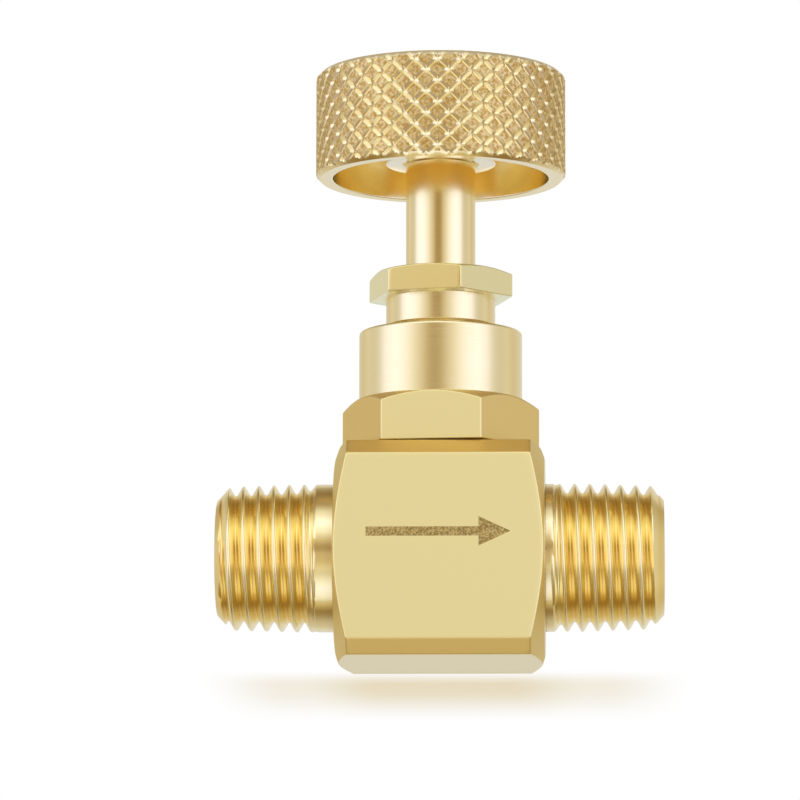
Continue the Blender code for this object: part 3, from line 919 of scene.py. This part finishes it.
def brass(name, roughness, rings, axis=(0, 0, 1), ring_depth=0.9, pale=brass_pale, warm=brass_warm):
    """A turned brass finish, as a kit of sockets that a piece may still change."""
    material, tree, shader, position = start_material(name, 1.0)
    marks = place_group(tree, turning, {
        "Position": position, "Rings per mm": rings, "Waviness": 0.12, "Axis": axis,
    })
    specks = place_group(tree, grain, {
        "Position": position, "Grain per mm": 9.0, "Clouds per mm": 0.22,
    })
    edges = place_group(tree, wear, {
        "Position": position, "Amount": 0.35, "Start": 0.52, "End": 0.6,
    })
    colour = mix_colour(tree, times(tree, specks["Tint"], 0.5), pale, warm)
    colour = mix_colour(tree, times(tree, edges["Mask"], 0.5), colour, brass_worn)
    rough = span(tree, marks["Tone"], 0, 1, roughness * 0.88, roughness * 1.12)
    rough = maths(tree, "SUBTRACT", rough, times(tree, edges["Mask"], roughness * 0.3))
    place = add(tree, "ShaderNodeSeparateXYZ", {0: position}).outputs
    return {
        "material": material, "tree": tree, "shader": shader, "position": position, "place": place,
        "radius": distance_from_axis(tree, X=place["X"], Y=place["Y"]), "colour": colour,
        "rough": rough, "marks": marks["Height"], "specks": specks["Height"],
        "ring_depth": ring_depth, "grain_depth": 0.35,
    }


# %% [markdown]
# Milled and lapped flats are duller than turned metal and have no rings. Where a flat is seen at a slant,
# Layer Weight mixes in another colour: painted shade that darkens the side facets of the body and the
# bonnet, and a painted highlight that pales those of the gland nut. The first helper does that. The second
# gives the metal a colour, a roughness or both where a mask is 1, and the third wires a kit up.


# %% Flats, coats and wiring
def lap_flats(kit, flats, dull, colour, painted_slant_colour):
    """Where flats is 1 the face is milled: duller and without rings; at a slant it takes
    painted_slant_colour, painted shade where that is darker and a painted highlight where it is paler.
    """
    tree = kit["tree"]
    slant = add(tree, "ShaderNodeLayerWeight", {"Blend": 0.5}).outputs["Facing"]
    shade = mix_colour(tree, span(tree, slant, 0.12, 0.5), colour, painted_slant_colour)
    lapped = span(tree, kit["specks"], 0.3, 0.7, dull * 0.98, dull * 1.02)
    coat(kit, flats, shade, lapped)
    kit["marks"] = times(tree, kit["marks"], maths(tree, "SUBTRACT", 1.0, flats))


def coat(kit, mask, colour=None, rough=None):
    """Where mask is 1 the metal takes this colour, this roughness or both."""
    if colour is not None:
        kit["colour"] = mix_colour(kit["tree"], mask, kit["colour"], colour)
    if rough is not None:
        kit["rough"] = mix_value(kit["tree"], mask, kit["rough"], rough)


def close_brass(kit):
    """Wires colour, roughness and the two bumps into the shader."""
    tree, shader = kit["tree"], kit["shader"]
    rings = add(tree, "ShaderNodeBump", {
        "Height": kit["marks"], "Distance": kit["ring_depth"] * MICRON, "Strength": 1.0,
    })
    specks = add(tree, "ShaderNodeBump", {
        "Height": kit["specks"], "Distance": kit["grain_depth"] * MICRON, "Strength": 1.0,
        "Normal": rings.outputs["Normal"],
    })
    tree.links.new(kit["colour"], shader.inputs["Base Color"])
    tree.links.new(kit["rough"], shader.inputs["Roughness"])
    tree.links.new(specks.outputs["Normal"], shader.inputs["Normal"])
    return kit["material"]


print("brass recipe ready")

# %% [markdown]
# ### Brass of the body
# The body has two finishes in one piece: lapped flats, which are dull and even, and turned ends, which are
# bright. A point is on a flat when it is further from the flow axis than the turned end face and inboard of
# it. The milled edges are rougher and are painted warmer and darker as painted shade. They are found where
# depth and height add up.

# %% Flats of the body
kit = brass("body brass", 0.2, 5.0, (1, 0, 0), 0.9, (0.93, 0.79, 0.49, 1), (0.91, 0.76, 0.43, 1))
tree, place = kit["tree"], kit["place"]
side = maths(tree, "ABSOLUTE", place["X"])
above_flow = maths(tree, "SUBTRACT", place["Z"], flow_axis)
spoke = distance_from_axis(tree, Y=place["Y"], Z=above_flow)
milled = times(
    tree, span(tree, spoke, end_face_radius, end_face_radius + 0.1),
    span(tree, side, bar_half_length, bar_half_length - 0.1),
)
# painted shade: the body's flats turn darker and warmer where they are seen at a slant
lap_flats(kit, milled, 0.52, (1.0, 0.91, 0.51, 1), (0.84, 0.68, 0.28, 1))
reach = maths(tree, "ADD", maths(tree, "ABSOLUTE", place["Y"]), maths(tree, "ABSOLUTE", above_flow))
corner = half_depth + half_height - bar_edge
bevel = span(tree, reach, corner - 0.05, corner - 0.02)
# painted shade: the milled edge chamfers are painted warmer and darker than the flats
coat(kit, times(tree, milled, bevel), (0.94, 0.73, 0.30, 1), 0.4)
coat(kit, span(tree, place["Z"], 0.06, 0.02), rough=span(tree, kit["specks"], 0.3, 0.7, 0.16, 0.22))
print("flats of the body:", len(tree.nodes), "nodes so far")

# %% [markdown]
# Deep in a thread one flank mirrors the other, so brass looks warmer there than on the crests; here that is
# a painted reflection, a colour that turns warmer and darker with the depth below the crest. The laser mark
# is darker and rougher: its mask is the depth of the recess, inside a box round the arrow.

# %% Threads and flow arrow of the body
threaded = between(tree, side, bar_half_length + 0.9, half_length - 0.5, 0.6)
threaded = times(tree, threaded, span(tree, spoke, port_radius, port_radius + 0.5))
crest = span(tree, side, half_length, bar_half_length + 3.6, pipe_end_radius, pipe_shank_radius)
below_crest = maths(tree, "SUBTRACT", crest, spoke)
# painted reflection: the thread's colour turns warmer and darker from crest to root
crest_colour, flank_colour = (1.0, 0.87, 0.52, 1), (1.0, 0.88, 0.50, 1)
root_painted_reflection = (0.98, 0.76, 0.31, 1)
thread_colour = mix_colour(tree, span(tree, below_crest, 0.05, 0.3), crest_colour, flank_colour)
thread_colour = mix_colour(tree, span(tree, below_crest, 0.4, 0.85), thread_colour, root_painted_reflection)
coat(kit, threaded, thread_colour, 0.2)
marked = times(
    tree, between(tree, place["Y"], -half_depth + 0.03, -half_depth + 0.2, 0.02),
    between(tree, side, -1, arrow_half + 0.1),
    between(tree, place["Z"], arrow_height - barb - 0.1, arrow_height + barb + 0.1),
)
speckle = span(tree, noise(tree, kit["position"], 5.0, 3.0, 0.75), 0.4, 0.6)
coat(kit, marked, mix_colour(tree, speckle, (0.34, 0.24, 0.08, 1), (0.76, 0.60, 0.27, 1)), 0.6)
body_brass = close_brass(kit)
print("body brass:", len(tree.nodes), "nodes")

# %% [markdown]
# ### Brass of the bonnet, the gland nut and the stem
# These are turned and polished, with milled hexagons. The distance from the stem's axis tells the
# flats of a hexagon from the round parts.

# %% Brass of the bonnet, the gland nut and the stem
polished_pale, polished_warm = (0.98, 0.87, 0.57, 1), (0.96, 0.83, 0.49, 1)
polished = {"rings": 5.0, "ring_depth": 0.3, "pale": polished_pale, "warm": polished_warm}
kit = brass("bonnet brass", 0.25, **polished)
tree = kit["tree"]
flats = times(
    tree, span(tree, kit["radius"], collar_radius + 0.1, collar_radius + 0.2),
    span(tree, kit["place"]["Z"], bonnet_shoulder, bonnet_shoulder - 0.1),
)
# painted shade: the hexagon flats turn darker where they are seen at a slant
lap_flats(kit, flats, 0.5, (1.0, 0.89, 0.49, 1), (0.85, 0.66, 0.28, 1))
bonnet_brass = close_brass(kit)
kit = brass("gland nut brass", 0.22, **polished)
tree = kit["tree"]
flats = times(
    tree, span(tree, kit["radius"], neck_radius + 0.2, neck_radius + 0.4),
    span(tree, kit["place"]["Z"], gland_top - 0.01, gland_top - 0.06),
)
# painted highlight: the hexagon flats turn paler where they are seen at a slant
lap_flats(kit, flats, 0.27, (0.91, 0.77, 0.38, 1), (1.0, 1.0, 0.72, 1))
kit["grain_depth"] = 0.04
gland_brass = close_brass(kit)
stem_warm = (0.96, 0.83, 0.50, 1)
kit = brass("stem brass", 0.18, 7.0, ring_depth=0.3, pale=polished_pale, warm=stem_warm)
stem_brass = close_brass(kit)
inner_brass = close_brass(brass("inner brass", 0.3, 4.0, ring_depth=1.2))
print("housing and stem finishes made")

# %% [markdown]
# ### Knurled brass
# The flat tops of the diamonds are sandy from the bar's drawn skin, and the rolled grooves are
# smooth and bright. The distance from the axis tells the two apart, so the mask is the shape itself.
# The inside of the cup is painted paler, as painted light that brightens its reflections, and the turned
# face of the boss and the chamfer at the top are painted paler too.

# %% Brass of the knob
rolled_pale, rolled_warm = (1.0, 0.87, 0.54, 1), (0.97, 0.80, 0.44, 1)
kit = brass("knurled brass", 0.15, 4.0, ring_depth=0.6, pale=rolled_pale, warm=rolled_warm)
tree, height = kit["tree"], kit["place"]["Z"]
tops = span(tree, kit["radius"], knob_radius - 0.05, knob_radius - 0.02)
sand = noise(tree, kit["position"], 3.4, 3.0, 0.7)
coat(kit, times(tree, tops, span(tree, sand, 0.42, 0.58, 0.35, 1.0)), (0.58, 0.37, 0.10, 1))
coat(kit, tops, rough=span(tree, sand, 0.3, 0.7, 0.42, 0.58))
# painted light: the inside of the cup is painted paler to brighten its reflections
inside = times(
    tree, span(tree, kit["radius"], inner_wall + 0.2, inner_wall + 0.1),
    span(tree, height, roof_height + 0.5, roof_height + 0.3),
)
coat(kit, inside, (1.0, 0.91, 0.64, 1))
# the turned face of the boss is painted paler
faced = times(
    tree, between(tree, height, boss_face - 0.1, boss_face + 0.1),
    span(tree, kit["radius"], boss_radius + 0.1, boss_radius),
)
coat(kit, faced, (0.96, 0.89, 0.70, 1))
# the chamfer at the top is painted paler and made rougher
brow = times(
    tree, span(tree, height, knob_top - knob_chamfer - 0.03, knob_top - knob_chamfer),
    span(tree, kit["radius"], rim_radius - 0.02, rim_radius + 0.02),
)
coat(kit, brow, (1.0, 0.92, 0.66, 1), 0.5)
grit = 24.0
kit["specks"] = maths(tree, "ADD", kit["specks"], times(tree, sand, tops, grit))
kit["grain_depth"] = 1.4
knob_brass = close_brass(kit)
print("knurled brass:", len(tree.nodes), "nodes")

# %% [markdown]
# ### Steel, packing and rubber
# The screw is plain steel with polishing scratches. The packing rings are pressed white plastic,
# slightly waxy and never quite even. The seal is black rubber with a faint bloom.


# %% Steel, packing and rubber
def plain_material(name, first, second, roughness, scale, bump, metallic=0.0):
    """Two mixed tones with a fine grain; scale is the grain per mm and bump its height in mm."""
    material, tree, shader, position = start_material(name, metallic)
    specks = place_group(tree, grain, {
        "Position": position, "Grain per mm": scale, "Clouds per mm": 0.6,
    })
    tree.links.new(mix_colour(tree, specks["Tint"], first, second), shader.inputs["Base Color"])
    rough = span(tree, specks["Height"], 0.3, 0.7, roughness * 0.85, roughness * 1.15)
    tree.links.new(rough, shader.inputs["Roughness"])
    bumps = add(tree, "ShaderNodeBump", {
        "Height": specks["Height"], "Distance": bump * MM, "Strength": 1.0,
    })
    tree.links.new(bumps.outputs["Normal"], shader.inputs["Normal"])
    return material


steel_dark, steel_light = (0.56, 0.56, 0.57, 1), (0.66, 0.66, 0.66, 1)
steel = plain_material("screw steel", steel_dark, steel_light, 0.28, 7.0, 0.002, metallic=1.0)
wax_grey, wax_white = (0.84, 0.84, 0.81, 1), (0.90, 0.90, 0.88, 1)
packing = plain_material("packing ring", wax_grey, wax_white, 0.5, 5.0, 0.006)
black, bloom = (0.018, 0.018, 0.019, 1), (0.035, 0.034, 0.033, 1)
rubber = plain_material("seal rubber", black, bloom, 0.62, 6.0, 0.008)
print("steel, packing and rubber made")

# %% [markdown]
# ## Finish on every piece
# The fine pieces take their material directly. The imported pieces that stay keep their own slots,
# and each slot gets the new finish.

# %% Put the finishes on
fine_finishes = {
    body: body_brass, bonnet: bonnet_brass, gland: gland_brass, stem: stem_brass, knob: knob_brass,
    washer: inner_brass, screw: steel,
}
for piece, material in fine_finishes.items():
    piece.data.materials.clear()
    piece.data.materials.append(material)
packed_finishes = {
    "packing_washer": inner_brass, "gland_follower": inner_brass, "packing_ring_lower": packing,
    "packing_ring_middle": packing, "packing_ring_upper": packing, "bonnet_gasket": packing,
    "stem_o_ring": rubber,
}
for node_name, material in packed_finishes.items():
    for slot in nodes[node_name].material_slots:
        slot.material = material
    print(node_name, "takes", material.name)

# %% [markdown]
# ## The studio
# Polished metal shows its surroundings, so the surroundings are the light. They are a soft tent
# with a wide bright ring round the camera, a dim warm opening behind the camera, dimmer sides and
# top, and a pale back. One ramp for each of the sides, the top and the bottom says how bright it is
# at each angle from the camera's side, and the direction blends between them. A dark warm patch in
# the two lower corners gives the round parts their shaded flank. The camera itself sees plain white.

# %% Light tent
tent_axis = (-0.12, -0.99, 0.05)
side_ramp = [
    (0, (0.58, 0.46, 0.27)), (14, (0.64, 0.53, 0.36)), (26, (0.80, 0.73, 0.62)), (38, (1.02, 1.00, 1.05)),
    (50, (1.15, 1.16, 1.40)), (64, (1.22, 1.23, 1.52)), (76, (1.08, 1.07, 1.28)), (90, (0.70, 0.67, 0.60)),
    (100, (0.66, 0.62, 0.52)), (116, (0.76, 0.70, 0.56)), (130, (0.66, 0.58, 0.42)),
    (150, (0.70, 0.66, 0.58)), (180, (0.80, 0.80, 0.78)),
]
top_ramp = [
    (0, (0.42, 0.31, 0.14)), (10, (0.36, 0.24, 0.10)), (20, (0.66, 0.56, 0.34)), (34, (1.04, 1.04, 0.96)),
    (48, (1.18, 1.30, 1.46)), (64, (0.90, 0.88, 0.76)), (84, (0.38, 0.27, 0.12)), (110, (0.26, 0.18, 0.08)),
    (126, (0.38, 0.30, 0.18)), (143, (0.74, 0.70, 0.62)), (180, (0.84, 0.84, 0.84)),
]
low_ramp = [
    (0, (0.44, 0.32, 0.15)), (14, (0.60, 0.48, 0.24)), (28, (0.84, 0.78, 0.56)), (44, (1.04, 1.06, 1.00)),
    (58, (1.08, 1.14, 1.34)), (72, (1.00, 1.02, 1.04)), (84, (0.62, 0.51, 0.26)), (100, (0.28, 0.19, 0.06)),
    (134, (0.60, 0.55, 0.44)), (160, (0.74, 0.74, 0.72)), (180, (0.74, 0.74, 0.73)),
]
world = bpy.data.worlds.new("light tent")
bpy.context.scene.world = world
world.use_nodes = True
tree = world.node_tree
background = tree.nodes["Background"]
view_from = add(tree, "ShaderNodeTexCoord").outputs["Generated"]
direction = vector(tree, "NORMALIZE", {0: view_from})
facing = vector(tree, "DOT_PRODUCT", {0: direction, 1: tent_axis}, "Value")
from_camera = maths(tree, "DIVIDE", maths(tree, "ARCCOSINE", facing), math.pi)
aside = maths(tree, "SUBTRACT", 1.0, times(tree, facing, facing))
aside = maths(tree, "SQRT", maths(tree, "MAXIMUM", aside, 1e-4))
rise = add(tree, "ShaderNodeSeparateXYZ", {0: direction}).outputs["Z"]
upward = maths(tree, "DIVIDE", rise, aside)


def ramp_of(stops):
    made = add(tree, "ShaderNodeValToRGB", {"Fac": from_camera})
    ramp = made.color_ramp
    ramp.interpolation = "EASE"
    while len(ramp.elements) > 1:
        ramp.elements.remove(ramp.elements[-1])
    for index, (degrees, colour) in enumerate(stops):
        element = ramp.elements[0] if index == 0 else ramp.elements.new(degrees / 180)
        element.position = degrees / 180
        element.color = (*colour, 1)
    return made.outputs["Color"]


tent = mix_colour(tree, eased(tree, upward, 0.25, 0.9), ramp_of(side_ramp), ramp_of(top_ramp))
tent = mix_colour(tree, eased(tree, upward, -0.25, -0.9), tent, ramp_of(low_ramp))
patch = times(
    tree, eased(tree, upward, -0.3, -0.55), eased(tree, upward, -0.96, -0.86),
    eased(tree, from_camera, 0.14, 0.22), eased(tree, from_camera, 0.7, 0.55), 0.8,
)
tent = mix_colour(tree, patch, tent, (0.26, 0.17, 0.06, 1))
seen = add(tree, "ShaderNodeLightPath").outputs["Is Camera Ray"]
tree.links.new(mix_colour(tree, seen, tent, (1, 1, 1, 1)), background.inputs["Color"])
background.inputs["Strength"].default_value = 1.0
print("light tent:", len(tree.nodes), "nodes")

# %% [markdown]
# ## The floor
# The valve stands on a plain pale floor. The camera looks from slightly below the valve's foot, so the
# floor is one-sided: from above it is a matt white sheet that fades into the background, and from below it
# lets the view through, tinted warm under the valve by a painted reflection of the valve, as in a frosted
# table.

# %% Floor
floor_mesh = bpy.data.meshes.new("floor")
floor_size, floor_drop = 0.6, 0.0002
floor_mesh.from_pydata(
    [(x * floor_size, y * floor_size, -floor_drop) for x, y in ((-1, -1), (1, -1), (1, 1), (-1, 1))],
    [], [(0, 1, 2, 3)],
)
floor = bpy.data.objects.new("floor", floor_mesh)
bpy.context.scene.collection.objects.link(floor)
floor.visible_glossy = False
floor.visible_shadow = False
material, tree, shader, position = start_material("pale floor", 0.0)
shader.inputs["Roughness"].default_value = 0.8
specks = place_group(tree, grain, {"Position": position, "Grain per mm": 1.5, "Clouds per mm": 0.01})
pale = mix_colour(tree, specks["Tint"], (0.93, 0.93, 0.92, 1), (0.97, 0.97, 0.965, 1))
tree.links.new(pale, shader.inputs["Base Color"])
clear = add(tree, "ShaderNodeBsdfTransparent")
place = add(tree, "ShaderNodeSeparateXYZ", {0: position}).outputs
side = maths(tree, "ABSOLUTE", place["X"])
# painted reflection: the see-through side is tinted warm in a patch under the valve
wide, middle = eased(tree, side, 24.0, 15.0), eased(tree, side, 14.0, 6.0)
spread = maths(tree, "ADD", times(tree, wide, 0.55), times(tree, middle, 0.45))
painted_reflection = times(tree, spread, eased(tree, place["Y"], 2.0, 16.0), eased(tree, place["Y"], 52.0, 18.0))
tree.links.new(mix_colour(tree, painted_reflection, (1, 1, 1, 1), (0.80, 0.71, 0.52, 1)), clear.inputs["Color"])
far = eased(tree, vector(tree, "LENGTH", {0: position}, "Value"), 160.0, 420.0)
hidden = maths(tree, "MAXIMUM", add(tree, "ShaderNodeNewGeometry").outputs["Backfacing"], far)
fade = add(tree, "ShaderNodeMixShader", {0: hidden, 1: shader.outputs[0], 2: clear.outputs[0]})
tree.links.new(fade.outputs[0], tree.nodes["Material Output"].inputs["Surface"])
floor_mesh.materials.append(material)
print("floor", 2 * floor_size, "m wide")

# %% [markdown]
# ## Camera
# A long lens half a metre away, a little to the right and some 56 mm below the foot of the valve,
# looks up at the rim of the knob. A long lens keeps the square body square. Light may bounce off
# polished metal ten times, because the cup of the knob mirrors itself.

# %% Camera
camera_data = bpy.data.cameras.new("camera")
camera = bpy.data.objects.new("camera", camera_data)
bpy.context.scene.collection.objects.link(camera)
yaw, pitch, roll = math.radians(1.93), math.radians(9.169), math.radians(-0.095)
camera.location = (0.012973, -0.499847, -0.05594)
camera.rotation_euler = (math.pi / 2 + pitch, roll, yaw)
camera_data.sensor_width = 36.0
camera_data.lens = 244.4
camera_data.shift_x = 0.0028
camera_data.clip_start = 0.01
camera_data.clip_end = 10.0
bpy.context.scene.camera = camera
bpy.context.scene.view_settings.view_transform = "Standard"
bpy.context.scene.cycles.glossy_bounces = 10
print("camera", tuple(round(value, 4) for value in camera.location), "lens", camera_data.lens)
